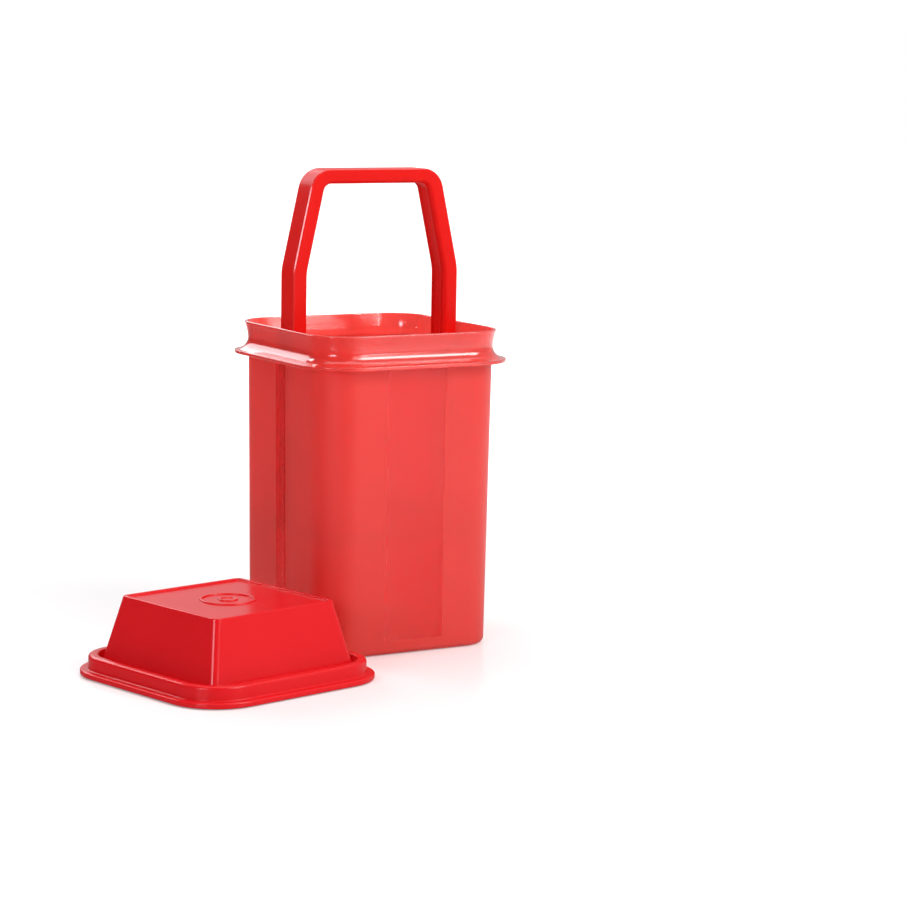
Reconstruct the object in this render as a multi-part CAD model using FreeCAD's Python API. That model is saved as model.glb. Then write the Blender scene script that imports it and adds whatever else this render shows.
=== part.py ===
import FreeCAD, Part
import math
import os

# Pickle keeper with a lift strainer: a square moulded container with a flared
# lip, a perforated tray on a bail handle that slides up and down inside it,
# and a domed press-on cover that lies on the table in front of it.
#
# Millimetres.  X runs across the handle, -Y is the front, +Z is up, and the
# origin is the middle of the container's underside.

V = FreeCAD.Vector
UP = V(0, 0, 1)

# Container -----------------------------------------------------------------
container_height = 165.0     # floor to the top of the lip
base_width = 100.7           # across the flats at the floor
base_corner = 18.1           # corner radius at the floor
shoulder_corner = 18.5
wall = 1.5
floor_thickness = 2.2
bottom_round = 5.2           # rounding between the floor and the walls

tub_spread = 1.35            # how far each wall leans out, from floor to shoulder
neck_spread = 0.45           # shoulder out to the waist between lip and flange
lip_spread = 1.65            # waist out to the top of the lip
neck_drop = 8.6              # lip top down to the waist
shoulder_drop = 14.6         # lip top down to the end of the straight wall
lip_edge_round = 0.5
flare = 1.6                  # 1 is a straight lip, and more curls it outwards at the top

flange_reach = 6.95          # finger flange, from the waist out to its edge
flange_drop = 16.8           # lip top down to the lowest edge of the flange
flange_edge = 1.7            # height of the flange's outer edge
flange_skin = 1.4            # thickness of the flange

guide_width = 10.0           # raised strip up each side wall, behind the handle legs
guide_proud = 0.6
guide_base = 9.0             # height at which the strip starts

# Cover ---------------------------------------------------------------------
cover_skin = 1.1
lip_clearance = 0.2          # cover to the container's lip, all round
cover_flange_reach = 4.15    # cover's flange, from its rim out to its edge
cover_flange_height = 2.8
crest_height = 9.9           # cover's lowest edge to the top of its rim
ledge_width = 4.7            # flat top of the rim, from its side to the moat
moat_draft = 0.8             # how far the moat's outer wall leans in at its floor
moat_floor = 4.2             # cover's lowest edge to the floor of the moat
moat_width = 4.3             # at its floor
dome_spread = 7.8            # how far each side of the dome leans in, foot to top
dome_corner = 3.6            # the same from foot to top
dome_height = 38.9           # cover's lowest edge to the top of the dome
border_width = 2.2           # raised border round the dome's flat top
border_height = 0.9
ring_diameter = 28.0         # plain moulded ring in the middle of the dome's top
ring_width = 1.3
ring_height = 0.6
gate_diameter = 10.0         # and the smaller one inside it, round the gate
rim_round = 1.6              # outer edge of the rim's top
flange_round = 0.8

cover_tuck = 10.45           # the turned cover lies this much nearer than side by side
cover_forward = 54.9         # middle of the cover in front of the container's
cover_turn = 12.8            # degrees, seen from above

# Strainer ------------------------------------------------------------------
strainer_raise = 54.0        # how far it is drawn up from its lowest place
strainer_clearance = 0.4     # tray and legs to the container's wall
foot_clearance = 0.3         # tray's feet to the container's floor, lowered
plate_thickness = 2.0
foot_height = 3.0
foot_diameter = 6.0
foot_margin = 10.87          # middle of each foot in from two sides of the tray
tray_rim_height = 2.8        # above the plate
tray_rim = 1.5
hole_diameter = 4.0
hole_pitch = 7.25
hole_margin = 6.0            # at least this much plain plate inside the rim

# Handle --------------------------------------------------------------------
leg_width = 14.4             # along Y
leg_thickness = 8.5          # along X
grip_thickness = 7.6         # crossbar, top to underside
grip_outer_corner = 12.0
grip_inner_corner = 4.5
headroom = 1.1               # crossbar to the dome with the cover on
side_room = 0.25             # legs to the dome's wall with the cover on
inner_edge_round = 2.6
outer_edge_bevel = 0.7
channel_width = 8.4          # shallow channel along the inside of the handle
channel_depth = 0.7
tongue_width = 8.0           # snap tongue under each leg, along Y
tongue_thickness = 3.6       # along X
tongue_reach = 1.6           # below the plate
barb = 0.7
socket_clearance = 0.15

# Working allowances ----------------------------------------------------------
overshoot = 1.0              # a cut or a joined piece runs this far past the shared face
hair = 0.01                  # small step off a face, used to find the edges on it
nearly = 0.001               # lengths this small count as nothing

# Derived heights and widths ---------------------------------------------------
shoulder_width = base_width + 2 * tub_spread
neck_width = shoulder_width + 2 * neck_spread
neck_corner = shoulder_corner + neck_spread
lip_width = neck_width + 2 * lip_spread
lip_corner = neck_corner + lip_spread
flange_width = neck_width + 2 * flange_reach
flange_corner = neck_corner + flange_reach
neck_z = container_height - neck_drop
shoulder_z = container_height - shoulder_drop
flange_z = container_height - flange_drop
wall_lean = tub_spread / shoulder_z

rim_width = lip_width + 2 * (lip_clearance + cover_skin)
rim_corner = lip_corner + lip_clearance + cover_skin
cover_flange_width = rim_width + 2 * cover_flange_reach
cover_flange_corner = rim_corner + cover_flange_reach
crest_inner_width = rim_width - 2 * ledge_width
crest_inner_corner = rim_corner - ledge_width
dome_foot_width = crest_inner_width - 2 * (moat_draft + moat_width)
dome_top_width = dome_foot_width - 2 * dome_spread
dome_lean = dome_spread / (dome_height - moat_floor)
dome_roof = dome_height - border_height - cover_skin
cover_seat = container_height + lip_clearance - (crest_height - cover_skin)
side_by_side = (flange_width + cover_flange_width) / 2
cover_place = V(cover_tuck - side_by_side, -cover_forward, 0)

floor_top = floor_thickness
cavity_base_half = base_width / 2 + wall_lean * floor_top - wall
tray_half = cavity_base_half - strainer_clearance
tray_corner = base_corner - wall - strainer_clearance
foot_inset = tray_half - foot_margin
pierced_half = tray_half - tray_rim - hole_margin
holes_per_side = int(2 * pierced_half / hole_pitch)
plate_bottom = floor_top + foot_clearance + foot_height + strainer_raise
plate_top = plate_bottom + plate_thickness
grip_top = cover_seat + dome_roof - headroom + strainer_raise


def rounded_square(width, corner, z):
    """Closed wire at height z: a square across the flats, with round corners."""
    half = width / 2
    near = half - corner
    edges = []
    for quarter in range(4):
        turn = FreeCAD.Rotation(UP, 90 * quarter)
        side_start = turn.multVec(V(half, -near, z))
        side_end = turn.multVec(V(half, near, z))
        diagonal = near + corner * math.sqrt(0.5)
        arc_middle = turn.multVec(V(diagonal, diagonal, z))
        arc_end = turn.multVec(V(near, half, z))
        edges.append(Part.LineSegment(side_start, side_end).toShape())
        edges.append(Part.Arc(side_end, arc_middle, arc_end).toShape())
    return Part.Wire(edges)


def stack(sections, ruled=True):
    """Solid through rounded squares, each given as width, corner and height."""
    return Part.makeLoft([rounded_square(*section) for section in sections], True, ruled)


def inset(sections, thickness):
    """The same rounded squares, moved inwards by a wall's thickness."""
    return [(width - 2 * thickness, corner - thickness, z) for width, corner, z in sections]


def rounding(section, radius, rise, spread=-1, steps=3):
    """Sections that turn an upright side into the flat face next to it.

    They start at the given section and end level, one radius higher (rise 1)
    or lower (rise -1) and one radius further in (spread -1) or out (spread 1).
    """
    width, corner, z = section
    sections = []
    for step in range(steps + 1):
        angle = math.pi / 2 * step / steps
        across = spread * radius * (1 - math.cos(angle))
        along = rise * radius * math.sin(angle)
        sections.append((width + 2 * across, corner + across, z + along))
    return sections


def block(size_x, size_y, size_z, centre_x, centre_y, bottom):
    """Upright box by its size, the middle of its plan, and its lowest height."""
    corner = V(centre_x - size_x / 2, centre_y - size_y / 2, bottom)
    return Part.makeBox(size_x, size_y, size_z, corner)


# Container ---------------------------------------------------------------------
def tub_section(z):
    """Outside of the straight wall at height z."""
    share = z / shoulder_z
    width = base_width + (shoulder_width - base_width) * share
    corner = base_corner + (shoulder_corner - base_corner) * share
    return width, corner, z


def tub_sections():
    """Outside of the tub from its rounded bottom edge up to the shoulder."""
    bottom = rounding(tub_section(bottom_round), bottom_round, -1)
    return bottom[::-1] + [tub_section(shoulder_z)]


def cavity_sections():
    """Inside of the tub from its rounded floor edge up to the shoulder."""
    round_inside = bottom_round - wall
    start = inset([tub_section(floor_top + round_inside)], wall)[0]
    bottom = rounding(start, round_inside, -1)
    return bottom[::-1] + inset([tub_section(shoulder_z)], wall)


def collar_sections():
    """Waist and flared lip above the shoulder, up to the lip's rounded edge."""
    sections = [(neck_width, neck_corner, neck_z)]
    for step in (0.5, 1.0):
        ease = step ** flare
        width = neck_width + (lip_width - neck_width) * ease
        corner = neck_corner + (lip_corner - neck_corner) * ease
        sections.append((width, corner, neck_z + (neck_drop - lip_edge_round) * step))
    return sections


def flange_solid():
    """Thin flange that sweeps out and down from the waist, open underneath."""
    reach = (flange_width - neck_width) / 2
    top = flange_z + flange_edge
    height = neck_z - top
    outer = []
    for angle in (0, 30, 60, 90):
        across = 1 - math.cos(math.radians(angle))
        down = math.sin(math.radians(angle))
        width = neck_width + 2 * reach * across
        corner = neck_corner + (flange_corner - neck_corner) * across
        outer.append((width, corner, neck_z - height * down))
    under = [(width, corner, z - flange_edge) for width, corner, z in inset(outer[1:], flange_skin)]
    outer.append((flange_width, flange_corner, flange_z))
    return stack(outer[::-1]).cut(stack(under[::-1]))


def container_solid():
    """Tapered tub with a flared lip, a finger flange and a guide strip up each side."""
    collar = collar_sections()
    outside = stack(tub_sections() + collar + rounding(collar[-1], lip_edge_round, 1, steps=1)[1:])

    mouth = inset(collar, wall)
    lip = rounding(mouth[-1], lip_edge_round, 1, spread=1, steps=1)[1:]
    above = (lip[-1][0], lip[-1][1], container_height + overshoot)
    inside = stack(cavity_sections() + mouth + lip + [above])

    body = outside.fuse(flange_solid())
    for side in (-1, 1):
        body = body.fuse(guide_strip(side))
    return body.cut(inside).removeSplitter()


def guide_strip(side):
    """Raised strip on one side wall, leaning with the wall."""
    depth = wall
    face_low = base_width / 2 + wall_lean * guide_base
    face_high = shoulder_width / 2
    profile = [
        V(side * (face_low - depth), 0, guide_base),
        V(side * (face_low + guide_proud), 0, guide_base),
        V(side * (face_high + guide_proud), 0, shoulder_z),
        V(side * (face_high - depth), 0, shoulder_z),
    ]
    face = Part.Face(Part.makePolygon(profile + profile[:1]))
    face.translate(V(0, -guide_width / 2, 0))
    return face.extrude(V(0, guide_width, 0))


# Cover ---------------------------------------------------------------------------
def cover_solid():
    """Domed cover: flange, hollow rim over the lip, moat, and a tapered dome."""
    edge = (cover_flange_width, cover_flange_corner)
    flange_low = rounding((*edge, flange_round), flange_round, -1, steps=1)
    flange_high = rounding((*edge, cover_flange_height - flange_round), flange_round, 1, steps=1)
    flange = stack(flange_low[::-1] + flange_high)
    rim_side = (rim_width, rim_corner, crest_height - rim_round)
    rim = stack([(rim_width, rim_corner, 0)] + rounding(rim_side, rim_round, 1, steps=2))
    moat = stack([
        (crest_inner_width - 2 * moat_draft, crest_inner_corner - moat_draft / 2, moat_floor),
        (crest_inner_width, crest_inner_corner, crest_height),
    ])
    dome = stack([
        (dome_foot_width, dome_corner, moat_floor),
        (dome_top_width, dome_corner, dome_height),
    ])
    outside = flange.fuse(rim).cut(moat).fuse(dome)

    groove = stack([
        (rim_width - 2 * cover_skin, rim_corner - cover_skin, 0),
        (rim_width - 2 * cover_skin, rim_corner - cover_skin, crest_height - cover_skin),
    ])
    plug = stack([
        (crest_inner_width - 2 * moat_draft + 2 * cover_skin,
         crest_inner_corner - moat_draft / 2 + cover_skin, moat_floor - cover_skin),
        (crest_inner_width + 2 * cover_skin, crest_inner_corner + cover_skin, crest_height),
    ])
    under = groove.cut(plug)
    hollow = stack([
        (dome_foot_width + 2 * dome_lean * cover_skin - 2 * cover_skin,
         dome_corner - cover_skin, moat_floor - cover_skin),
        (dome_foot_width - 2 * dome_lean * (dome_roof - moat_floor) - 2 * cover_skin,
         dome_corner - cover_skin, dome_roof),
    ])
    shell = outside.cut(under).cut(hollow)

    panel = stack([
        (dome_top_width - 2 * border_width, dome_corner - border_width,
         dome_height - border_height),
        (dome_top_width - 2 * border_width, dome_corner - border_width,
         dome_height + border_height),
    ])
    shell = shell.cut(panel).fuse(top_marks())
    shell = shell.removeSplitter()
    shell.rotate(V(0, 0, 0), UP, cover_turn)
    shell.translate(cover_place)
    return shell


def top_marks():
    """Two plain moulded rings in the middle of the dome's flat top."""
    height = cover_skin / 2 + ring_height
    at = V(0, 0, dome_height - border_height - cover_skin / 2)
    rings = []
    for diameter in (ring_diameter, gate_diameter):
        ring = Part.makeCylinder(diameter / 2, height, at)
        rings.append(ring.cut(Part.makeCylinder(diameter / 2 - ring_width, height, at)))
    return rings


# Strainer ----------------------------------------------------------------------
def tray_solid():
    """Perforated square plate with a low rim, four feet and a socket for each leg."""
    width = 2 * tray_half
    rim_top = plate_top + tray_rim_height
    tray = stack([(width, tray_corner, plate_bottom), (width, tray_corner, rim_top)])
    well = stack([
        (width - 2 * tray_rim, tray_corner - tray_rim, plate_top),
        (width - 2 * tray_rim, tray_corner - tray_rim, rim_top + overshoot),
    ])
    tray = tray.cut(well)
    for x in (-foot_inset, foot_inset):
        for y in (-foot_inset, foot_inset):
            at = V(x, y, plate_bottom - foot_height)
            tray = tray.fuse(Part.makeCylinder(foot_diameter / 2, foot_height + overshoot, at))
    cuts = hole_pattern()
    for side in (-1, 1):
        notch_width = leg_width + 2 * socket_clearance
        cuts.append(block(2 * leg_thickness, notch_width, tray_rim_height + overshoot,
                          side * tray_half, 0, plate_top))
        cuts.append(block(tongue_thickness + 2 * socket_clearance,
                          tongue_width + 2 * socket_clearance,
                          plate_thickness + 2 * overshoot,
                          side * tongue_centre(), 0, plate_bottom - overshoot))
    return tray.cut(Part.makeCompound(cuts)).removeSplitter()


def hole_pattern():
    """Drain holes on a square grid, without the four that the feet stand under."""
    drills = []
    reach = (holes_per_side - 1) / 2
    for column in range(holes_per_side):
        for row in range(holes_per_side):
            x = (column - reach) * hole_pitch
            y = (row - reach) * hole_pitch
            near_foot = math.hypot(abs(x) - foot_inset, abs(y) - foot_inset)
            if near_foot < (hole_diameter + foot_diameter) / 2:
                continue
            drills.append(drill(V(x, y, plate_bottom - overshoot)))
    return drills


def drill(at):
    """Six-sided prism through the plate, with the area of a drain hole."""
    sides = 6
    reach = hole_diameter / 2 * math.sqrt(2 * math.pi / sides / math.sin(2 * math.pi / sides))
    ring = []
    for corner in range(sides + 1):
        angle = 2 * math.pi * (corner + 0.5) / sides
        ring.append(at + V(reach * math.cos(angle), reach * math.sin(angle), 0))
    face = Part.Face(Part.makePolygon(ring))
    return face.extrude(V(0, 0, plate_thickness + 2 * overshoot))


def tongue_centre():
    """Distance of a tongue's middle from the strainer's middle, along X."""
    return tray_half - leg_thickness / 2


# Handle --------------------------------------------------------------------------
def handle_outline(offset, top, corner):
    """Half of the bail's outline as a wire: leg, bend, slope, round corner, crossbar.

    The sloped stretch runs parallel to the dome's inside wall.  A larger
    offset gives the inner outline, and top is the crossbar's height there.
    """
    slope = math.atan(dome_lean)
    leg_x = tray_half - offset
    wall_at_seat = dome_foot_width / 2 + dome_lean * moat_floor - cover_skin / math.cos(slope)
    seat = cover_seat + strainer_raise

    def slope_x(z):
        """Sloped side of the outline at height z."""
        return wall_at_seat - side_room - dome_lean * (z - seat) - offset / math.cos(slope)

    bend_z = seat + (slope_x(seat) - leg_x) / dome_lean
    reach = corner * math.tan((math.pi / 2 - slope) / 2)
    tip_x = slope_x(top)
    arc_start = V(tip_x + reach * math.sin(slope), 0, top - reach * math.cos(slope))
    arc_end = V(tip_x - reach, 0, top)
    centre = V(tip_x - reach, 0, top - corner)
    middle_angle = (math.pi / 2 + slope) / 2
    arc_middle = centre + V(corner * math.cos(middle_angle), 0, corner * math.sin(middle_angle))
    foot = V(leg_x, 0, plate_top)
    bend = V(leg_x, 0, bend_z)
    return foot, bend, arc_start, arc_middle, arc_end


def mirrored(point):
    """The same point on the other leg."""
    return V(-point.x, point.y, point.z)


def bail(offset, top, corner, width):
    """Solid prism of one outline across the handle's width, closed at the tray."""
    foot, bend, arc_start, arc_middle, arc_end = handle_outline(offset, top, corner)
    edges = [
        Part.LineSegment(foot, bend).toShape(),
        Part.LineSegment(bend, arc_start).toShape(),
        Part.Arc(arc_start, arc_middle, arc_end).toShape(),
        Part.LineSegment(arc_end, mirrored(arc_end)).toShape(),
        Part.Arc(mirrored(arc_end), mirrored(arc_middle), mirrored(arc_start)).toShape(),
        Part.LineSegment(mirrored(arc_start), mirrored(bend)).toShape(),
        Part.LineSegment(mirrored(bend), mirrored(foot)).toShape(),
        Part.LineSegment(mirrored(foot), foot).toShape(),
    ]
    face = Part.Face(Part.Wire(edges))
    face.translate(V(0, -width / 2, 0))
    return face.extrude(V(0, width, 0))


def side_edges(solid, keep):
    """Edges on the front and back faces of the bail, away from its feet."""
    chosen = []
    for edge in solid.Edges:
        box = edge.BoundBox
        on_side = box.YLength < nearly and abs(abs(box.YMin) - leg_width / 2) < nearly
        if on_side and box.ZMax > plate_top + nearly and keep(edge):
            chosen.append(edge)
    return chosen


def handle_solid():
    """Bail handle: outer outline less inner outline, with a channel and two tongues."""
    under_grip = grip_top - grip_thickness
    outer = bail(0, grip_top, grip_outer_corner, leg_width)
    outer = outer.makeChamfer(outer_edge_bevel, side_edges(outer, lambda edge: True))
    inner = bail(leg_thickness, under_grip, grip_inner_corner, 2 * leg_width)
    handle = outer.cut(inner)
    reach = bail(leg_thickness - hair, under_grip + hair, grip_inner_corner, 2 * leg_width)

    def on_inner_edge(edge):
        middle = edge.valueAt((edge.FirstParameter + edge.LastParameter) / 2)
        return reach.isInside(middle, nearly, True)

    handle = handle.makeFillet(inner_edge_round, side_edges(handle, on_inner_edge))
    channel = bail(leg_thickness - channel_depth, under_grip + channel_depth,
                   grip_inner_corner, channel_width)
    handle = handle.cut(channel)
    for side in (-1, 1):
        handle = handle.fuse(tongue(side))
    return handle.removeSplitter()


def tongue(side):
    """Snap tongue through the tray, with a barb that hooks under the plate."""
    bottom = plate_bottom - tongue_reach
    centre = side * tongue_centre()
    stem = block(tongue_thickness, tongue_width, plate_top - bottom + overshoot, centre, 0, bottom)
    barb_x = centre - side * tongue_thickness / 2
    hook_top = plate_bottom - socket_clearance
    profile = [
        V(barb_x, 0, hook_top),
        V(barb_x - side * barb, 0, hook_top),
        V(barb_x, 0, bottom),
    ]
    face = Part.Face(Part.makePolygon(profile + profile[:1]))
    face.translate(V(0, -tongue_width / 2, 0))
    return stem.fuse(face.extrude(V(0, tongue_width, 0)))


nodes = {
    "container": container_solid(),
    "strainer_tray": tray_solid(),
    "lift_handle": handle_solid(),
    "cover": cover_solid(),
}

os.makedirs("parts", exist_ok=True)
for name, shape in nodes.items():
    solids = shape.Solids
    shape = solids[0] if len(solids) == 1 else Part.makeCompound(solids)
    box = shape.BoundBox
    print(name, len(solids), "solid", "valid" if shape.isValid() else "NOT VALID",
          f"{shape.Volume / 1000:.2f} cm3",
          f"x {box.XMin:.2f} {box.XMax:.2f} y {box.YMin:.2f} {box.YMax:.2f}",
          f"z {box.ZMin:.2f} {box.ZMax:.2f}")
    shape.exportStep("parts/" + name + ".step")
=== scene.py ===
import math

import bmesh
import bpy
import numpy as np
from mathutils import Matrix, Vector


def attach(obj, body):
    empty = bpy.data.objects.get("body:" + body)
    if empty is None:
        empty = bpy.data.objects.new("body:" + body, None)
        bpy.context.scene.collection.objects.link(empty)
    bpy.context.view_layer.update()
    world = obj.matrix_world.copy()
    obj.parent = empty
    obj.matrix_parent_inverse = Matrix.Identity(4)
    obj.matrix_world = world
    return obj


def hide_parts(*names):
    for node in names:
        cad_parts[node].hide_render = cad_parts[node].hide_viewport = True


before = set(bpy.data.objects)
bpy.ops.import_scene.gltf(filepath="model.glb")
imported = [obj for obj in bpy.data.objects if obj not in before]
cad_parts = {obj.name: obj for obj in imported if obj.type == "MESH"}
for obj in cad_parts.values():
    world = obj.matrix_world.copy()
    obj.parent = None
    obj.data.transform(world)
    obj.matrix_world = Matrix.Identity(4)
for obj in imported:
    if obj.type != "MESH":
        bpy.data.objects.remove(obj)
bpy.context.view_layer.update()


# --- Camera ------------------------------------------------------------------
# A long lens from the front left, a little above the lip, with the keeper left
# of the middle and the lifted-off cover in front of it.
camera_turn = math.radians(-30.595)
camera_height = math.radians(8.376)
camera_roll = math.radians(1.0)
camera_place = (-0.69705, -1.26672, 0.31059)
back = Vector((
    math.sin(camera_turn) * math.cos(camera_height),
    -math.cos(camera_turn) * math.cos(camera_height),
    math.sin(camera_height),
))
level = Vector((math.cos(camera_turn), math.sin(camera_turn), 0.0))
upward = back.cross(level)
rightward = level * math.cos(camera_roll) + upward * math.sin(camera_roll)
upward = -level * math.sin(camera_roll) + upward * math.cos(camera_roll)
camera_data = bpy.data.cameras.new("camera")
camera_data.sensor_width = 36.0
camera_data.lens = 110.39
camera_data.clip_start = 0.05
camera_data.clip_end = 50.0
camera = bpy.data.objects.new("camera", camera_data)
bpy.context.scene.collection.objects.link(camera)
camera.matrix_world = Matrix((
    (rightward.x, upward.x, back.x, camera_place[0]),
    (rightward.y, upward.y, back.y, camera_place[1]),
    (rightward.z, upward.z, back.z, camera_place[2]),
    (0.0, 0.0, 0.0, 1.0),
))
bpy.context.scene.camera = camera


# --- Container ---------------------------------------------------------------
# One injection moulding in translucent red polypropylene: a square matt tub with
# polished see-through bands down its walls, a finger flange round the waist and
# a lip that curls outwards.  All lengths are in millimetres.
MM = 0.001
container_height = 165.0
wall = 1.5
floor_thickness = 2.2
base_half, base_corner = 50.35, 18.1
shoulder_half, shoulder_corner, shoulder_z = 51.7, 18.5, 150.4
neck_half, neck_corner, neck_z = 52.15, 18.95, 156.4
lip_half, lip_corner, lip_curl = 53.8, 20.6, 1.6
brim_round = 0.5
flange_half, flange_corner, flange_z = 59.1, 25.9, 148.2
flange_skin, flange_edge, flange_edge_round = 1.4, 1.7, 0.45
foot_round = 2.4
guide_half, guide_proud, guide_base = 5.0, 0.6, 9.0
guide_shoulder, guide_fade, guide_base_fade = 0.05, 0.25, 0.2
wall_lean = (shoulder_half - base_half) / shoulder_z
corner_lean = (shoulder_corner - base_corner) / shoulder_z


def soften(stations, steps=6):
    """Profile through stations of (half width, corner radius, height, rounding).

    Each station with a rounding is replaced by a parabola that leaves the
    line to it, and joins the line from it, one rounding away.  A row just
    outside each end keeps the shading of the flat beyond it flat.
    """
    stations = np.asarray(stations, float)
    most, held_back, most_held = 0.45, 1.3, 0.49
    rows = []
    for i, rounding in enumerate(stations[:, 3]):
        here = stations[i, :3]
        if rounding == 0.0 or i in (0, len(stations) - 1):
            rows.append(here[None])
            continue
        ends, held = [], []
        for other in (stations[i - 1, :3], stations[i + 1, :3]):
            step = other - here
            share = rounding / math.hypot(step[0], step[2])
            ends.append(here + step * min(share, most))
            held.append(here + step * min(held_back * share, most_held))
        t = np.linspace(0.0, 1.0, steps + 1)[:, None]
        curve = (1 - t) ** 2 * ends[0] + 2 * t * (1 - t) * here + t ** 2 * ends[1]
        rows += [held[0][None], curve, held[1][None]]
    return np.vstack(rows)


def quarter_turn(quarter, x, y):
    """(x, y) turned about Z by a number of quarter circles."""
    c, s = ((1, 0), (0, 1), (-1, 0), (0, -1))[quarter]
    return c * x - s * y, s * x + c * y


def square_rings(profile, proud=None, arc_steps=14, side_steps=8, middle=6.0):
    """Rounded squares stacked along a profile, as points (ring, place, xyz).

    A place is a turn of a quarter circle at a corner or a share of a straight
    side.  The middle of each side keeps fixed places, so that a strip of fixed
    width can stand proud there by the given amount, ring by ring.  The strip's
    edge falls off as 3t^2 - 2t^3 with t the distance past it over the fade.
    """
    half, corner, z = (profile[:, k, None] for k in range(3))
    outer_share = np.linspace(0.0, 1.0, side_steps + 1)
    inner_share = np.array([0.0, 0.5, 0.80, 0.825, 0.84, 0.87, 0.93, 1.0])
    fixed = np.concatenate((inner_share, np.ones(side_steps)))
    free = np.concatenate((np.zeros(len(inner_share)), outer_share[1:]))
    fixed = np.concatenate((-fixed[:0:-1], fixed))[None]
    free = np.concatenate((-free[:0:-1], free))[None]
    near = np.maximum(half - corner, 0.0)
    held = np.minimum(middle, 0.5 * near)
    side_y = fixed * held + free * (near - held)
    side_x = np.broadcast_to(half, side_y.shape)
    lifted = side_x
    if proud is not None:
        inside = guide_half + guide_shoulder - np.abs(side_y)
        share = np.clip(inside / guide_fade, 0.0, 1.0)
        lifted = side_x + proud[:, None] * share * share * (3 - 2 * share)
    turn = np.linspace(0.0, math.pi / 2, arc_steps + 1)[None, 1:-1]
    arc_x = near + corner * np.cos(turn)
    arc_y = near + corner * np.sin(turn)
    quarters = []
    for quarter in range(4):
        x = np.concatenate((side_x if quarter % 2 else lifted, arc_x), 1)
        y = np.concatenate((side_y, arc_y), 1)
        x, y = quarter_turn(quarter, x, y)
        quarters.append(np.stack((x, y, np.broadcast_to(z, x.shape)), 2))
    return np.concatenate(quarters, 1)


def ring_quads(place):
    """A square between each four neighbours of points numbered (ring, place)."""
    low, high = place[:-1], place[1:]
    quads = np.stack((low, np.roll(low, -1, 1), np.roll(high, -1, 1), high), 2)
    return quads.reshape(-1, 4).tolist()


def new_piece(name, points, faces):
    """Object at the origin whose mesh has the points, in millimetres, and faces."""
    mesh = bpy.data.meshes.new(name)
    mesh.from_pydata((points * MM).tolist(), [], faces)
    mesh.update()
    piece = bpy.data.objects.new(name, mesh)
    bpy.context.scene.collection.objects.link(piece)
    return piece


def shade(piece, sharp):
    """Smooth shading, with a sharp edge where faces turn by more than sharp degrees."""
    piece.data.shade_smooth()
    piece.data.set_sharp_from_angle(angle=math.radians(sharp))


def skin(name, rings):
    """Mesh over rings of points, closed by fans round the middles of its end rings."""
    count, around = rings.shape[:2]
    place = np.arange(count * around).reshape(count, around)
    first, last = count * around, count * around + 1
    points = np.vstack((rings.reshape(-1, 3), rings[0].mean(0), rings[-1].mean(0)))
    fan_a = np.stack((np.full(around, first), np.roll(place[0], -1), place[0]), 1)
    fan_b = np.stack((np.full(around, last), place[-1], np.roll(place[-1], -1)), 1)
    piece = new_piece(name, points, ring_quads(place) + fan_a.tolist() + fan_b.tolist())
    shade(piece, 40.0)
    return piece


def column(half, corner, z):
    """Rows of (half width, corner radius, height), one for each value given."""
    return np.stack(np.broadcast_arrays(half, corner, z), 1)


def side_rows(z, depth=0.0):
    """The side wall at heights z: half width and corner grow in line with height."""
    return column(base_half + wall_lean * z - depth, base_corner + corner_lean * z - depth, z)


def shoulder_rows(s, depth=0.0):
    """The straight wall from shoulder to neck, at shares s of the way up."""
    return column(shoulder_half + (neck_half - shoulder_half) * s - depth,
                  shoulder_corner + (neck_corner - shoulder_corner) * s - depth,
                  shoulder_z + (neck_z - shoulder_z) * s)


def heel_rows(a, radius, depth, bottom):
    """Quarter circle of a radius from a floor at height bottom up to the wall."""
    draw_in = depth + radius * (1 - np.sin(a))
    return column(base_half - draw_in, base_corner - draw_in, bottom + radius * (1 - np.cos(a)))


def flange_rows(a, depth=0.0, drop=0.0):
    """Quarter ellipse from the neck, at angle 0, down and out to the flange."""
    out = 1 - np.cos(a)
    height = neck_z - flange_z - flange_edge
    return column(neck_half + (flange_half - neck_half) * out - depth,
                  neck_corner + (flange_corner - neck_corner) * out - depth,
                  neck_z - height * np.sin(a) - drop)


def brim_rows(a, depth, side):
    """Quarter circle over one side of the lip's upper edge: side 1 out, -1 in."""
    draw_in = depth + side * brim_round * (1 - np.cos(a))
    top = container_height - brim_round + brim_round * np.sin(a)
    return column(lip_half - draw_in, lip_corner - draw_in, top)


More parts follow.
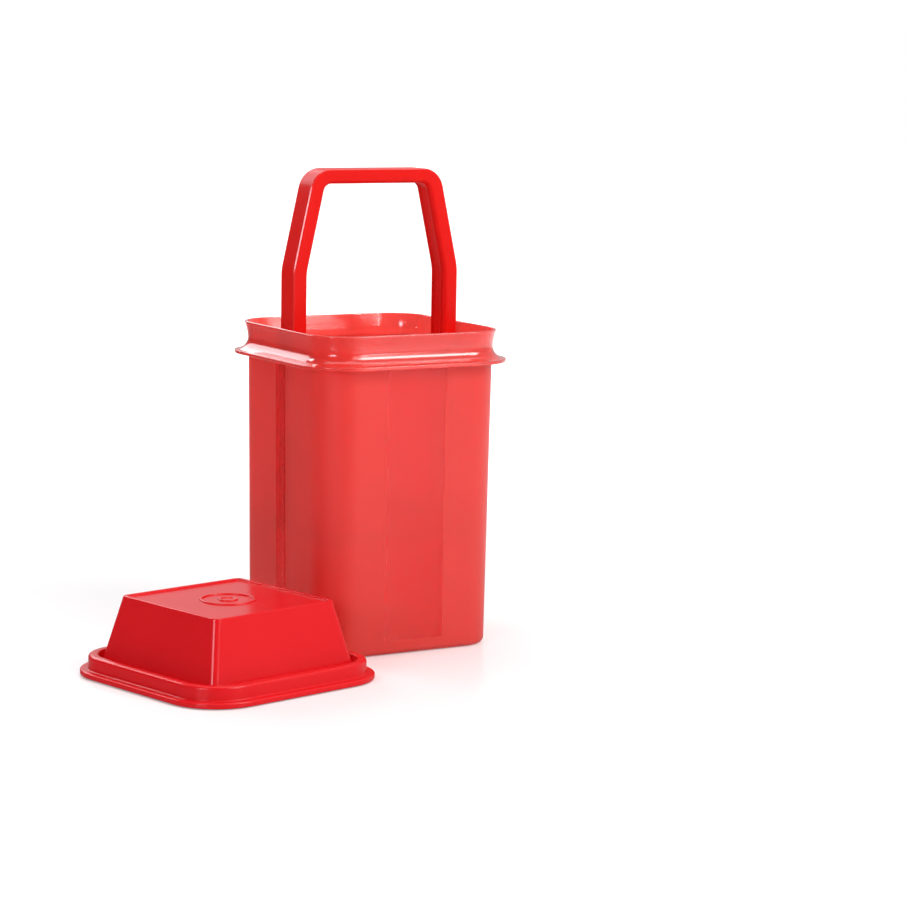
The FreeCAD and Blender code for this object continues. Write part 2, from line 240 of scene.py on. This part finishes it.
def container_profile():
    """Outside from the middle of the foot up to the lip, then down the inside.

    Gives the rows, and how far the guide strip stands proud of each.
    """
    flat_share = np.linspace(0.02, 1.0, 7)
    flat_half, flat_corner = base_half - foot_round, base_corner - foot_round
    guide_foot = guide_base + np.array([-0.1, 0.0, 0.1, 0.2, 0.3])
    side_z = np.concatenate((guide_foot, [30.0, 60.0, 90.0, 120.0, 140.0, 150.0]))
    outside = np.vstack((
        column(flat_share * flat_half, flat_share * flat_corner, 0.0),
        heel_rows(np.radians(np.linspace(0, 90, 10))[1:], foot_round, 0.0, 0.0),
        side_rows(side_z),
        shoulder_rows(np.array([0.04, 0.13])),
    ))
    proud = guide_proud * np.clip(
        (outside[:, 2] - guide_base + guide_shoulder) / guide_base_fade, 0.0, 1.0)
    proud[outside[:, 2] > shoulder_z + 0.3] = 0.0

    edge_top = flange_z + flange_edge
    edge = soften([
        (flange_half - 0.9, flange_corner - 0.9, flange_z, 0.0),
        (flange_half, flange_corner, flange_z, flange_edge_round),
        (flange_half, flange_corner, edge_top, flange_edge_round),
        (flange_half - 0.6, flange_corner - 0.4, edge_top + 0.02, 0.0),
    ])
    s = np.linspace(0.0, 1.0, 10)[1:]
    lip = column(neck_half + (lip_half - neck_half) * s ** lip_curl,
                 neck_corner + (lip_corner - neck_corner) * s ** lip_curl,
                 neck_z + (container_height - brim_round - neck_z) * s)
    a = np.radians(np.linspace(0, 90, 5))[1:]
    profile = np.vstack((
        outside,
        flange_rows(np.radians(np.linspace(32, 90, 9)), flange_skin, flange_edge),
        edge,
        flange_rows(np.radians(np.linspace(80, 0, 16))),
        lip,
        brim_rows(a, 0.0, 1),
        brim_rows(a[::-1], wall, -1),
        lip[::-1] - (wall, wall, 0.0),
        shoulder_rows(np.linspace(0.9, 0.0, 4), wall),
        side_rows(np.array([140.0, 120.0, 90.0, 60.0, 30.0, 10.0]), wall),
        heel_rows(np.radians(np.linspace(90, 0, 9)), foot_round - wall, wall, floor_thickness),
        column(flat_share[::-1] * flat_half, flat_share[::-1] * flat_corner, floor_thickness)[1:],
    ))
    return profile, np.concatenate((proud, np.zeros(len(profile) - len(proud))))


profile, proud = container_profile()
container = skin("container_shell", square_rings(profile, proud))
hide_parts("container")
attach(container, "container")


def group_nodes(name, inputs, outputs):
    """Empty node group with named number or colour sockets, and its two ends."""
    tree = bpy.data.node_groups.new(name, "ShaderNodeTree")
    for label, kind, value in inputs:
        socket = tree.interface.new_socket(label, in_out="INPUT", socket_type=kind)
        if value is not None:
            socket.default_value = value
    for label, kind in outputs:
        tree.interface.new_socket(label, in_out="OUTPUT", socket_type=kind)
    return tree, tree.nodes.new("NodeGroupInput"), tree.nodes.new("NodeGroupOutput")


def set_or_link(tree, socket, value):
    """Give a socket a plain number or colour, or link another socket to it."""
    if isinstance(value, (int, float)):
        socket.default_value = value
    elif isinstance(value, tuple):
        socket.default_value = (*value, 1.0)
    else:
        tree.links.new(value, socket)


def math_node(tree, operation, *values):
    """Math node whose inputs are sockets or plain numbers; gives its output."""
    node = tree.nodes.new("ShaderNodeMath")
    node.operation = operation
    for socket, value in zip(node.inputs, values):
        set_or_link(tree, socket, value)
    return node.outputs[0]


# Moulded plastic: a very fine cloudiness of the colour where the melt flowed,
# and the fine grain that a spark-eroded mould leaves on the surface.
moulded, moulded_in, moulded_out = group_nodes(
    "moulded_plastic",
    [("Position", "NodeSocketVector", None), ("Grain Size", "NodeSocketFloat", 0.0004),
     ("Cloud Size", "NodeSocketFloat", 0.03)],
    [("Grain", "NodeSocketFloat"), ("Cloud", "NodeSocketFloat")],
)
for label, size, detail, stretch in (("Grain", "Grain Size", 2.0, 1.0),
                                     ("Cloud", "Cloud Size", 3.0, 0.45)):
    squeeze = moulded.nodes.new("ShaderNodeVectorMath")
    squeeze.operation = "MULTIPLY"
    squeeze.inputs[1].default_value = (1.0, 1.0, stretch)
    moulded.links.new(moulded_in.outputs["Position"], squeeze.inputs[0])
    noise = moulded.nodes.new("ShaderNodeTexNoise")
    noise.inputs["Detail"].default_value = detail
    moulded.links.new(squeeze.outputs[0], noise.inputs["Vector"])
    scale = math_node(moulded, "DIVIDE", 1.0, moulded_in.outputs[size])
    moulded.links.new(scale, noise.inputs["Scale"])
    moulded.links.new(noise.outputs["Fac"], moulded_out.inputs[label])

# Polished bands: 1 inside a strip of the walls and 0 elsewhere, with a narrow
# soft edge, and the same for the whole of the flange and lip.  In metres.
front_band, side_band, band_edge = 0.017, 0.005, 0.0001
band_wall = (0.0475, 0.0482)
band_bottom, band_top = (0.0068, 0.0074), (0.1472, 0.1478)
lip_from = (0.1475, 0.1485)
bands, bands_in, bands_out = group_nodes(
    "polished_bands",
    [("Position", "NodeSocketVector", None)],
    [("Front", "NodeSocketFloat"), ("Side", "NodeSocketFloat"), ("Lip", "NodeSocketFloat")],
)
parts = bands.nodes.new("ShaderNodeSeparateXYZ")
bands.links.new(bands_in.outputs["Position"], parts.inputs[0])


def ramp(tree, value, low, high):
    """0 below low and 1 above high, smoothly between."""
    node = tree.nodes.new("ShaderNodeMapRange")
    node.interpolation_type = "SMOOTHSTEP"
    node.inputs["From Min"].default_value = low
    node.inputs["From Max"].default_value = high
    tree.links.new(value, node.inputs["Value"])
    return node.outputs["Result"]


def strip_mask(across, along, half):
    """Strip |across| < half on the two walls that lie at a large |along|."""
    depth = math_node(bands, "SUBTRACT", half, math_node(bands, "ABSOLUTE", across))
    inside = ramp(bands, depth, -band_edge, band_edge)
    on_wall = ramp(bands, math_node(bands, "ABSOLUTE", along), *band_wall)
    above = ramp(bands, parts.outputs["Z"], *band_bottom)
    below = math_node(bands, "SUBTRACT", 1.0, ramp(bands, parts.outputs["Z"], *band_top))
    mask = math_node(bands, "MULTIPLY", inside, on_wall)
    return math_node(bands, "MULTIPLY", mask, math_node(bands, "MULTIPLY", above, below))


front_mask = strip_mask(parts.outputs["X"], parts.outputs["Y"], front_band)
side_mask = strip_mask(parts.outputs["Y"], parts.outputs["X"], side_band)
bands.links.new(front_mask, bands_out.inputs["Front"])
bands.links.new(side_mask, bands_out.inputs["Side"])
bands.links.new(ramp(bands, parts.outputs["Z"], *lip_from), bands_out.inputs["Lip"])


def material(name):
    """Node material with a Principled shader, its tree and object position."""
    made = bpy.data.materials.new(name)
    made.use_nodes = True
    tree = made.node_tree
    shader = tree.nodes["Principled BSDF"]
    where = tree.nodes.new("ShaderNodeTexCoord").outputs["Object"]
    return made, tree, shader, where


def place_group(tree, group, **values):
    """The group as a node of a material, with its values or links set by name."""
    node = tree.nodes.new("ShaderNodeGroup")
    node.node_tree = group
    for label, value in values.items():
        set_or_link(tree, node.inputs[label.replace("_", " ")], value)
    return node


def blend_colour(tree, share, first, second):
    """Colour between first and second by share, which may be a socket."""
    node = tree.nodes.new("ShaderNodeMix")
    node.data_type = "RGBA"
    for index, value in ((0, share), (6, first), (7, second)):
        set_or_link(tree, node.inputs[index], value)
    return node.outputs[2]


def blend_value(tree, share, first, second):
    """Number between first and second by share."""
    span = math_node(tree, "SUBTRACT", second, first)
    return math_node(tree, "MULTIPLY_ADD", share, span, first)


def grain_bump(tree, shader, height, depth, strength):
    """Bump of a height from 0 to 1, depth metres high."""
    bump = tree.nodes.new("ShaderNodeBump")
    bump.inputs["Distance"].default_value = depth
    bump.inputs["Strength"].default_value = strength
    tree.links.new(height, bump.inputs["Height"])
    tree.links.new(bump.outputs["Normal"], shader.inputs["Normal"])


# The matt walls are a milky red.  The bands are smoother, deeper in colour and
# let a little more through, and the flange and lip have a polished coat.
wall_reds = (0.93, 0.064, 0.050), (0.98, 0.094, 0.078)
front_red, side_red = (0.92, 0.040, 0.031), (0.96, 0.018, 0.014)
matt, polished = 0.42, 0.15
front_clear, side_clear = 0.11, 0.30
lip_coat = 0.55
frosted, tree, shader, where = material("frosted_red_polypropylene")
surface = place_group(tree, moulded, Position=where, Grain_Size=0.00035, Cloud_Size=0.045)
clear = place_group(tree, bands, Position=where)
band = math_node(tree, "MAXIMUM", clear.outputs["Front"], clear.outputs["Side"])
smooth = math_node(tree, "MAXIMUM", band, clear.outputs["Lip"])
red = blend_colour(tree, surface.outputs["Cloud"], *wall_reds)
red = blend_colour(tree, clear.outputs["Front"], red, front_red)
red = blend_colour(tree, clear.outputs["Side"], red, side_red)
coat = math_node(tree, "MULTIPLY", clear.outputs["Lip"], lip_coat)
cover_up = math_node(tree, "MULTIPLY_ADD", clear.outputs["Front"], -front_clear, 1.0)
cover_up = math_node(tree, "MULTIPLY_ADD", clear.outputs["Side"], -side_clear, cover_up)
tree.links.new(red, shader.inputs["Base Color"])
tree.links.new(coat, shader.inputs["Coat Weight"])
tree.links.new(blend_value(tree, smooth, matt, polished), shader.inputs["Roughness"])
tree.links.new(cover_up, shader.inputs["Alpha"])
shader.inputs["Transmission Weight"].default_value = 0.55
shader.inputs["IOR"].default_value = 1.49
shader.inputs["Specular IOR Level"].default_value = 0.38
shader.inputs["Coat Roughness"].default_value = 0.12
grain_bump(tree, shader, surface.outputs["Grain"], 0.00002, 0.4)
container.data.materials.append(frosted)


# --- Strainer tray -----------------------------------------------------------
# Moulded red plate with a low rim and four feet, pierced by a square grid of
# drain holes.  It slides in the container with a little play at each wall.
tray_half, tray_corner = 48.47, 16.2
plate_bottom, plate_top, rim_top = 59.5, 61.5, 64.3
rim_wall = 1.5
hole_radius, hole_pitch, hole_count, hole_round = 2.0, 7.25, 11, 0.15
foot_inset, foot_radius, foot_height = 37.6, 3.0, 3.0
leg_half, leg_play = 7.2, 0.1


def hole_cells(z_top, z_bottom, steps=6):
    """Square cells of plate round each hole: top ring, hole wall and under ring.

    A place on a cell runs round its square edge; inwards it closes in on the
    hole's circle at the same angle.  Cells where a foot stands have no hole.
    """
    edge = np.arange(steps) / steps * 2 - 1
    one = np.ones(steps)
    square = np.concatenate((np.stack((one, edge), 1), np.stack((-edge, one), 1),
                             np.stack((-one, -edge), 1), np.stack((edge, -one), 1)))
    circle = square / np.linalg.norm(square, axis=1)[:, None]
    rank = (np.arange(hole_count) - (hole_count - 1) / 2) * hole_pitch
    cx, cy = (c.ravel() for c in np.meshgrid(rank, rank, indexing="ij"))
    to_foot = np.hypot(np.abs(cx) - foot_inset, np.abs(cy) - foot_inset)
    pierced = (to_foot >= hole_radius + foot_radius)[:, None, None]
    outer = square[None] * hole_pitch / 2
    narrow = circle[None] * np.where(pierced, hole_radius, 0.0)
    rounded = circle[None] * np.where(pierced, hole_radius + hole_round, 0.0)
    centre = np.stack((cx, cy), 1)[:, None]
    levels = [(outer, z_top), (rounded, z_top), (narrow, z_top - hole_round),
              (narrow, z_bottom + hole_round), (rounded, z_bottom), (outer, z_bottom)]
    return np.stack([np.concatenate((centre + flat, np.full((len(cx), 4 * steps, 1), z)), 2)
                     for flat, z in levels], 1)


def tray_border(steps=6, corner_places=12):
    """Rings from the grid's square edge out over the rim and back underneath.

    Along a side a place is a share from -1 to 1.  The last places at each end
    run round an eighth of a circle at the corner, and the others run straight.
    The rim is cut down to the plate where a leg of the handle stands.
    """
    per_side = hole_count * steps
    share = np.arange(per_side) / per_side * 2 - 1
    grid_half = hole_count * hole_pitch / 2
    stations = soften([
        (tray_half - rim_wall - 1.6, tray_corner - rim_wall - 1.6, plate_top, 0.0),
        (tray_half - rim_wall, tray_corner - rim_wall, plate_top, 0.6),
        (tray_half - rim_wall, tray_corner - rim_wall, rim_top, 0.4),
        (tray_half, tray_corner, rim_top, 0.4),
        (tray_half, tray_corner, plate_bottom, 0.5),
        (tray_half - 3.0, tray_corner - 3.0, plate_bottom, 0.0),
    ], steps=4)
    half, corner, z = (stations[:, k, None] for k in range(3))
    near = half - corner
    bend_share = 2 * corner_places / per_side
    bend = np.clip((np.abs(share) - (1 - bend_share)) / bend_share, 0.0, 1.0)
    straight = np.clip(np.abs(share) / (1 - bend_share), 0.0, 1.0)
    angle = bend * math.pi / 4
    x = np.where(bend > 0, near + corner * np.cos(angle), half)
    y = np.sign(share) * (straight * near + corner * np.sin(angle))
    height = np.broadcast_to(z, x.shape)
    grid_x, grid_y = np.full((1, per_side), grid_half), share[None] * grid_half
    x, y = np.vstack((grid_x, x, grid_x)), np.vstack((grid_y, y, grid_y))
    height = np.vstack((np.full_like(grid_x, plate_top), height,
                        np.full_like(grid_x, plate_bottom)))
    notched = np.where(np.abs(y) < leg_half + leg_play, np.minimum(height, plate_top), height)
    return np.concatenate([
        np.stack((*quarter_turn(quarter, x, y), height if quarter % 2 else notched), 2)
        for quarter in range(4)], 1)


def turned(profile, places):
    """A profile of radius and height turned about Z, in a number of places."""
    turn = np.linspace(0, 2 * math.pi, places + 1)[None, :-1]
    radius, z = profile[:, 0, None], profile[:, 2, None]
    height = np.broadcast_to(z, (len(z), places))
    return np.stack((radius * np.cos(turn), radius * np.sin(turn), height), 2)


def tray_feet():
    """Four short studs under the plate, each a turned profile."""
    low, high = plate_bottom - foot_height, plate_bottom + 0.5
    stud = turned(soften([(0.02, 0, low, 0.0), (foot_radius, 0, low, 0.5),
                          (foot_radius, 0, high, 0.0), (0.02, 0, high, 0.0)]), 32)
    return [stud + np.array((side_x * foot_inset, side_y * foot_inset, 0.0))
            for side_x in (-1, 1) for side_y in (-1, 1)]


def joined(name, blocks, sharp=40.0):
    """One mesh from several blocks of rings; doubled points are merged."""
    points, faces, start = [], [], 0
    for rings, closed_ends in blocks:
        count, around = rings.shape[:2]
        place = start + np.arange(count * around).reshape(count, around)
        faces += ring_quads(place)
        if closed_ends:
            faces += [place[0][::-1].tolist(), place[-1].tolist()]
        points.append(rings.reshape(-1, 3))
        start += count * around
    piece = new_piece(name, np.vstack(points), faces)
    work = bmesh.new()
    work.from_mesh(piece.data)
    bmesh.ops.remove_doubles(work, verts=work.verts, dist=2e-6)
    bmesh.ops.dissolve_degenerate(work, edges=work.edges, dist=1e-7)
    bmesh.ops.recalc_face_normals(work, faces=work.faces)
    work.to_mesh(piece.data)
    work.free()
    shade(piece, sharp)
    return piece


blocks = [(cell, False) for cell in hole_cells(plate_top, plate_bottom)]
blocks += [(tray_border(), False)]
blocks += [(foot, True) for foot in tray_feet()]
tray = joined("strainer_plate", blocks)
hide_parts("strainer_tray")
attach(tray, "strainer")

tray_reds = (0.70, 0.012, 0.014), (0.80, 0.022, 0.024)
satin, tree, shader, where = material("satin_red_polypropylene")
surface = place_group(tree, moulded, Position=where, Grain_Size=0.0004, Cloud_Size=0.03)
cloud = surface.outputs["Cloud"]
tree.links.new(blend_colour(tree, cloud, *tray_reds), shader.inputs["Base Color"])
tree.links.new(blend_value(tree, cloud, 0.34, 0.44), shader.inputs["Roughness"])
shader.inputs["IOR"].default_value = 1.49
grain_bump(tree, shader, surface.outputs["Grain"], 0.00002, 0.5)
tray.data.materials.append(satin)


# --- Lift handle -------------------------------------------------------------
# Bail in glossy red polypropylene, bent in one outline from tray to tray, with
# round inner edges, a shallow channel inside and a snap tongue under each leg.
leg_x, leg_thickness = 48.47, 8.5
grip_top, grip_thickness = 246.2, 7.6
dome_lean, slope_seat, slope_x_at_seat = 0.224784, 210.4, 44.867
outer_corner, inner_corner, bend_round = 12.0, 4.5, 3.5
edge_bevel, inner_round = 0.5, 2.6
channel_half, channel_depth = 4.2, 0.7


def run(a, b, count):
    """Straight run of points from a to b."""
    t = np.linspace(0.0, 1.0, count)[:, None]
    return a + (b - a) * t


def bail_outline(offset, top, corner):
    """The bail's outline in X and Z at a depth of offset, from foot to foot.

    Half of it is an upright leg, a parabola at the bend, a slope that leans as
    the cover's dome does, a quarter less the lean of a circle and the crossbar.
    """
    slope = math.atan(dome_lean)
    leg = leg_x - offset
    at_seat = slope_x_at_seat - offset / math.cos(slope)
    bend_z = slope_seat + (at_seat - leg) / dome_lean
    tip_x = at_seat - dome_lean * (top - slope_seat)
    reach = corner * math.tan((math.pi / 2 - slope) / 2)
    lean = np.array((-math.sin(slope), math.cos(slope)))
    bend, tip = np.array((leg, bend_z)), np.array((tip_x, top))
    below, above = bend - (0.0, bend_round), bend + lean * bend_round
    t = np.linspace(0.0, 1.0, 9)[1:-1, None]
    angle = np.linspace(slope, math.pi / 2, 16)[1:-1, None]
    centre = np.array((tip_x - reach, top - corner))
    half = np.vstack((
        run(np.array((leg, plate_top)), below, 10),
        (1 - t) ** 2 * below + 2 * t * (1 - t) * bend + t ** 2 * above,
        run(above, tip - lean * reach, 8),
        centre + corner * np.hstack((np.cos(angle), np.sin(angle))),
        run(np.array((tip_x - reach, top)), np.array((0.0, top)), 8),
    ))
    return np.vstack((half, (half * (-1, 1))[-2::-1]))


def bail_section():
    """Places round the section: Y, and the share of depth from the outer face.

    Half of it is flat outside, bevelled at the outer edge, rounded by a quarter
    circle at the inner edge and hollowed by the channel; the rest mirrors it.
    """
    w, t = leg_half, leg_thickness
    a = np.linspace(0.0, math.pi / 2, 6)
    outer = np.array([(2.0, 0.0), (w - edge_bevel - 0.3, 0.0), (w - edge_bevel, 0.0),
                      (w, edge_bevel), (w, edge_bevel + 0.3)])
    inner = np.stack((w - inner_round + inner_round * np.cos(a),
                      t - inner_round + inner_round * np.sin(a)), 1)
    bottom = t - channel_depth
    groove = np.array([(channel_half + 0.25, t), (channel_half + 0.05, t - 0.06),
                       (channel_half - 0.05, t - 0.2), (channel_half - 0.15, bottom + 0.15),
                       (channel_half - 0.45, bottom), (1.0, bottom)])
    half = np.vstack((outer, inner, groove))
    section = np.vstack((half, half[::-1] * (-1, 1)))
    return section[:, 0], section[:, 1] / t


outer = bail_outline(0.0, grip_top, outer_corner)
inner = bail_outline(leg_thickness, grip_top - grip_thickness, inner_corner)
across, depth = bail_section()
rings = np.empty((len(outer), len(across), 3))
rings[:, :, (0, 2)] = outer[:, None] + (inner - outer)[:, None] * depth[None, :, None]
rings[:, :, 1] = across[None]
handle = joined("lift_handle_bail", [(rings, True)], sharp=38.0)
near_edge = np.abs(across) > leg_half - edge_bevel - 0.01
near_face = depth * leg_thickness < edge_bevel + 0.01
on_bevel = np.tile(near_edge & near_face, len(outer)).astype(np.float32)
burnished = handle.data.attributes.new("burnished", "FLOAT", "POINT")
burnished.data.foreach_set("value", on_bevel)
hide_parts("lift_handle")
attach(handle, "strainer")


def snap_tongues():
    """Two blocks under the legs, each with a slanted barb on its inner side."""
    middle, thick, half, low, barb = tray_half - leg_thickness / 2, 1.8, 4.0, 57.9, 0.7
    top, ledge = plate_top - 0.3, plate_bottom - 0.15
    path = np.array([(middle + thick, top), (middle + thick, low), (middle - thick, low),
                     (middle - thick - barb, ledge), (middle - thick, ledge),
                     (middle - thick, top)])
    blocks = []
    for side in (-1, 1):
        ends = [np.column_stack((side * path[:, 0], np.full(len(path), y), path[:, 1]))
                for y in (-half, half)]
        blocks.append((np.stack(ends), True))
    return blocks


tongues = joined("leg_tongues", snap_tongues(), sharp=20.0)
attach(tongues, "strainer")

handle_reds = (0.70, 0.005, 0.003), (0.76, 0.008, 0.006)
glossy, tree, shader, where = material("glossy_red_polypropylene")
surface = place_group(tree, moulded, Position=where, Grain_Size=0.0012, Cloud_Size=0.05)
cloud = surface.outputs["Cloud"]
edge = tree.nodes.new("ShaderNodeAttribute")
edge.attribute_name = "burnished"
tree.links.new(blend_colour(tree, cloud, *handle_reds), shader.inputs["Base Color"])
tree.links.new(edge.outputs["Fac"], shader.inputs["Coat Weight"])
tree.links.new(blend_value(tree, cloud, 0.28, 0.34), shader.inputs["Roughness"])
shader.inputs["IOR"].default_value = 1.49
shader.inputs["Specular IOR Level"].default_value = 0.12
shader.inputs["Coat Roughness"].default_value = 0.18
grain_bump(tree, shader, surface.outputs["Grain"], 0.00001, 0.3)
handle.data.materials.append(glossy)
tongues.data.materials.append(glossy)


# --- Cover -------------------------------------------------------------------
# Press-on cover in softer red polyethylene: a flange, a hollow rim that snaps
# over the lip, a moat, and a tapered dome with a raised border on its top.
cover_place = (-107.9, -54.9, 0.0)
cover_turn = math.radians(12.8)
panel_z, mark_height = 38.0, 0.6


def cover_profile():
    """Inside from the middle of the dome down to the flange, then up the outside."""
    dome_inside = [(0.5, 0.2, 36.9, 0.0), (20.0, 1.5, 36.9, 0.0), (36.85, 2.5, 36.9, 1.2)]
    moat_underside = [(44.45, 2.5, 3.1, 0.9), (50.7, 17.9, 3.1, 0.8)]
    rim_inside = [(51.37, 18.24, 8.8, 0.8), (54.0, 20.8, 8.8, 0.8), (54.0, 20.8, 0.0, 0.4)]
    flange = [(59.25, 26.1, 0.0, 0.9), (59.25, 26.1, 2.8, 0.9), (55.1, 21.9, 2.8, 0.8)]
    rim = [(55.1, 21.9, 9.9, 1.9), (50.4, 17.2, 9.9, 0.7)]
    moat = [(49.6, 16.8, 4.2, 0.8), (45.3, 3.6, 4.2, 0.9)]
    border = [(37.5, 3.6, 38.9, 0.5), (35.4, 1.6, 38.9, 0.35)]
    panel = [(35.2, 1.4, panel_z, 0.3), (18.0, 1.0, panel_z, 0.0), (0.5, 0.2, panel_z, 0.0)]
    return soften(dome_inside + moat_underside + rim_inside + flange + rim + moat + border + panel)


def laid_down(rings):
    """The cover's own points turned and moved to where it lies."""
    c, s = math.cos(cover_turn), math.sin(cover_turn)
    turn = np.array(((c, s, 0.0), (-s, c, 0.0), (0.0, 0.0, 1.0)))
    return rings @ turn + np.array(cover_place)


cover = skin("cover_shell", laid_down(square_rings(cover_profile())))
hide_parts("cover")
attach(cover, "cover")

# The gate marks: a plain ring and a round boss with a dimple, turned about Z.
sunk, mark_top = panel_z - 0.1, panel_z + mark_height
ring = [(12.5, 0, sunk, 0.0), (12.75, 0, mark_top, 0.3), (13.95, 0, mark_top, 0.3),
        (14.2, 0, sunk, 0.0)]
gate = [(5.1, 0, sunk, 0.0), (4.85, 0, mark_top, 0.3), (3.5, 0, mark_top, 0.3),
        (3.2, 0, panel_z + 0.2, 0.2), (0.05, 0, panel_z + 0.2, 0.0)]
marks = joined("cover_gate_marks", [(laid_down(turned(soften(mark, steps=4), 96)), False)
                                    for mark in (ring, gate)], sharp=50.0)
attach(marks, "cover")

cover_reds = (0.69, 0.006, 0.010), (0.75, 0.010, 0.015)
soft, tree, shader, where = material("soft_red_polyethylene")
surface = place_group(tree, moulded, Position=where, Grain_Size=0.0005, Cloud_Size=0.04)
cloud = surface.outputs["Cloud"]
tree.links.new(blend_colour(tree, cloud, *cover_reds), shader.inputs["Base Color"])
tree.links.new(blend_value(tree, cloud, 0.20, 0.25), shader.inputs["Roughness"])
shader.inputs["IOR"].default_value = 1.50
shader.inputs["Specular IOR Level"].default_value = 0.28
grain_bump(tree, shader, surface.outputs["Grain"], 0.00003, 0.5)
cover.data.materials.append(soft)
marks.data.materials.append(soft)


# --- Studio ------------------------------------------------------------------
# A white sweep with seven soft lamps: a large one overhead, a key from the front
# right, a cool fill from the left, two low ones behind, and one each for the
# light on the finger flange and on the cover's upright edges.
lamp_target = (0.0, 0.0, 0.10)


def lamp(name, place, size, power, colour=(1.0, 1.0, 1.0)):
    """Soft lamp of a width and height at a place, turned to face the target."""
    data = bpy.data.lights.new(name, "AREA")
    data.shape = "RECTANGLE"
    data.size, data.size_y = size
    data.energy = power
    data.color = colour
    made = bpy.data.objects.new(name, data)
    bpy.context.scene.collection.objects.link(made)
    made.location = place
    made.rotation_mode = "QUATERNION"
    made.rotation_quaternion = (Vector(place) - Vector(lamp_target)).to_track_quat("Z", "Y")
    made.visible_camera = False


lamp("top_softbox", (0.10, 0.10, 1.60), (1.4, 1.4), 11.0)
lamp("key_softbox", (0.43, -1.36, 1.03), (0.8, 0.8), 5.6, (1.0, 0.98, 0.95))
lamp("fill_softbox", (-1.45, -0.85, 0.56), (0.6, 0.26), 8.3, (0.88, 0.90, 1.0))
lamp("back_strip", (-0.13, 1.38, 0.74), (1.2, 0.40), 5.6, (0.93, 0.96, 1.0))
lamp("left_back_strip", (-0.60, 1.06, 1.00), (0.45, 0.2), 3.0)
lamp("flange_strip", (0.73, -0.96, 1.02), (0.5, 0.42), 9.6, (1.0, 0.98, 0.96))
lamp("front_strip", (0.63, -1.30, 0.48), (0.08, 0.5), 1.5)

white, off_white, dark = (1.0, 1.0, 1.0), (0.86, 0.86, 0.86), (0.15, 0.15, 0.15)
mirrored_white = 0.55
room_light, room_light_mirrored = 0.27, 0.06


def right_side(tree, place):
    """0 on the left of the sweep and 1 on its right, smoothly between."""
    across = tree.nodes.new("ShaderNodeSeparateXYZ")
    tree.links.new(place, across.inputs[0])
    return ramp(tree, across.outputs["X"], -0.25, 0.35)


def seen_white(tree, place):
    """1 for rays that see the white sweep: from the camera, through the plastic
    and, on the right-hand side alone, off it.  The left side is a dark room."""
    path = tree.nodes.new("ShaderNodeLightPath")
    glossy = math_node(tree, "MULTIPLY", path.outputs["Is Glossy Ray"], right_side(tree, place))
    glossy = math_node(tree, "MULTIPLY", glossy, mirrored_white)
    straight = math_node(tree, "MAXIMUM", path.outputs["Is Camera Ray"],
                         path.outputs["Is Transmission Ray"])
    return math_node(tree, "MAXIMUM", glossy, straight)


world = bpy.data.worlds.new("studio")
bpy.context.scene.world = world
world.use_nodes = True
tree = world.node_tree
light = tree.nodes["Background"]
set_or_link(tree, light.inputs["Color"], white)
direction = tree.nodes.new("ShaderNodeTexCoord").outputs["Generated"]
glossy_ray = tree.nodes.new("ShaderNodeLightPath").outputs["Is Glossy Ray"]
dim = blend_value(tree, glossy_ray, room_light, room_light_mirrored)
strength = math_node(tree, "MAXIMUM", seen_white(tree, direction), dim)
tree.links.new(strength, light.inputs["Strength"])

# The sweep lies just under the foot.  Near the keeper it glows less, so that it
# keeps the shadow, and from some way off it is the same white as the backdrop.
sweep_half, sweep_z = 6000.0, -0.4
near_radius, far_radius = 0.22, 0.65
sweep_corners = np.array([(-1, -1), (1, -1), (1, 1), (-1, 1)]) * sweep_half
floor_piece = new_piece(
    "floor", np.column_stack((sweep_corners, np.full(4, sweep_z))), [(0, 1, 2, 3)])
paper, tree, shader, where = material("white_sweep")
shader.inputs["Roughness"].default_value = 0.26
shader.inputs["Specular IOR Level"].default_value = 0.42
set_or_link(tree, shader.inputs["Emission Color"], white)
path = tree.nodes.new("ShaderNodeLightPath")
away = tree.nodes.new("ShaderNodeVectorMath")
away.operation = "LENGTH"
tree.links.new(where, away.inputs[0])
far = ramp(tree, away.outputs["Value"], near_radius, far_radius)
left = math_node(tree, "SUBTRACT", 1.0, right_side(tree, where))
mirrored_left = math_node(tree, "MULTIPLY", path.outputs["Is Glossy Ray"], left)
tree.links.new(blend_colour(tree, mirrored_left, off_white, dark), shader.inputs["Base Color"])
near_glow = blend_value(tree, path.outputs["Is Transmission Ray"], 0.20, 0.80)
glow = math_node(tree, "MULTIPLY", seen_white(tree, where), blend_value(tree, far, near_glow, 1.0))
tree.links.new(glow, shader.inputs["Emission Strength"])
floor_piece.data.materials.append(paper)

bpy.context.scene.view_settings.view_transform = "Standard"
